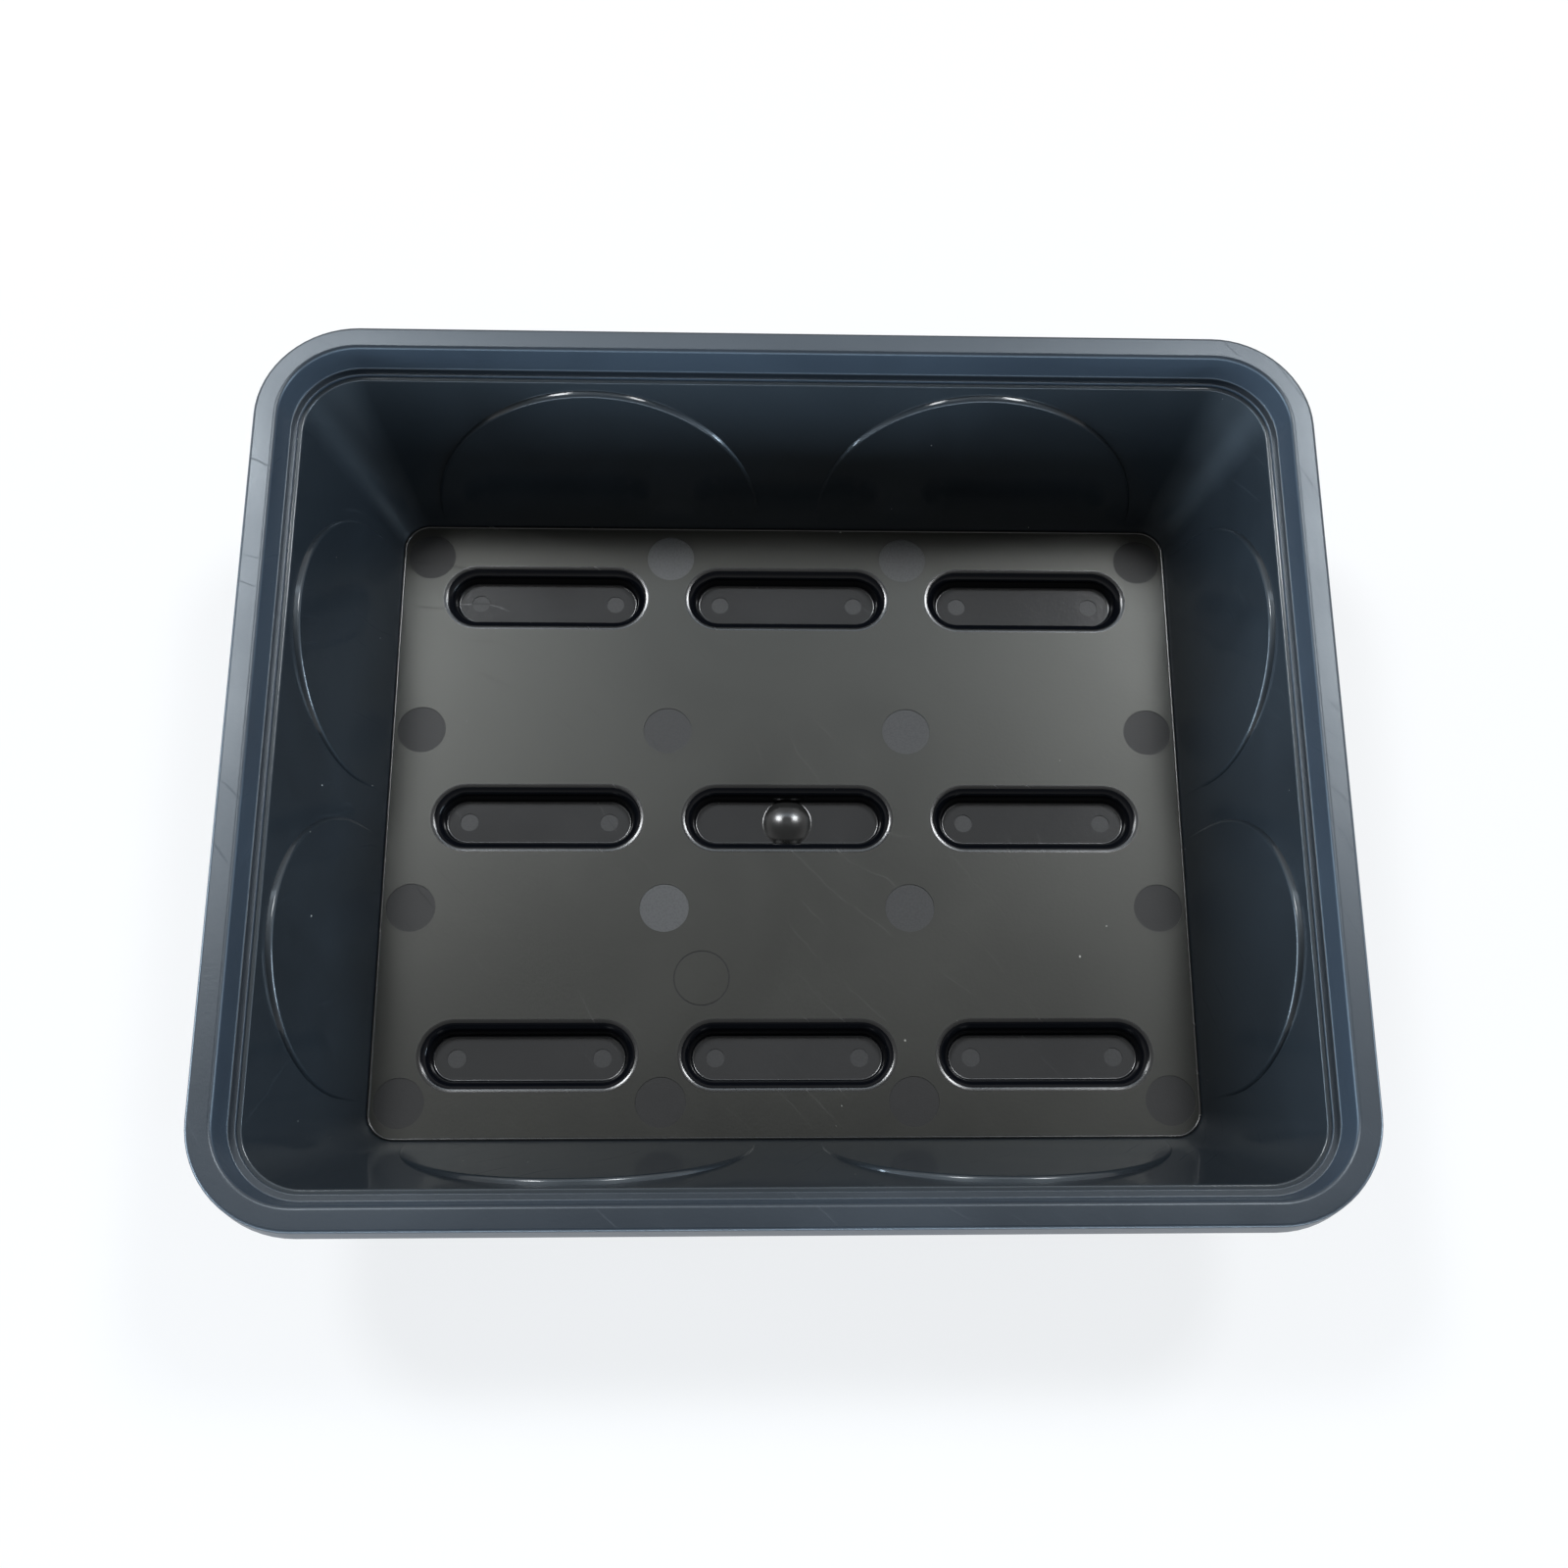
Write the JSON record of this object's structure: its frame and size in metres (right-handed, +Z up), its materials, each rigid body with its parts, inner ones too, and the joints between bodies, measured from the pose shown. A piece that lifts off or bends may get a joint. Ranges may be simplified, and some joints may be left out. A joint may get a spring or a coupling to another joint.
{
  "type": "pebble humidity tray",
  "caption": "Shallow rectangular plastic tray with a stepped rim, sloping walls with raised arched panels, and obround floor recesses that stand under it as feet.",
  "frame": {"origin": "centre of the feet's underside: on the tray's vertical centre line, in the plane that the feet stand on", "axes": "+X along the long side, to the right seen from the front; +Y to the back; +Z up, out of the tray's mouth"},
  "size_m": [0.2314, 0.1944, 0.056],
  "materials": {
    "tray_plastic": "black polypropylene, semi-gloss walls and rim with a satin floor"
  },
  "bodies": {
    "root": {"tray": "tray_plastic"}
  },
  "joints": []
}
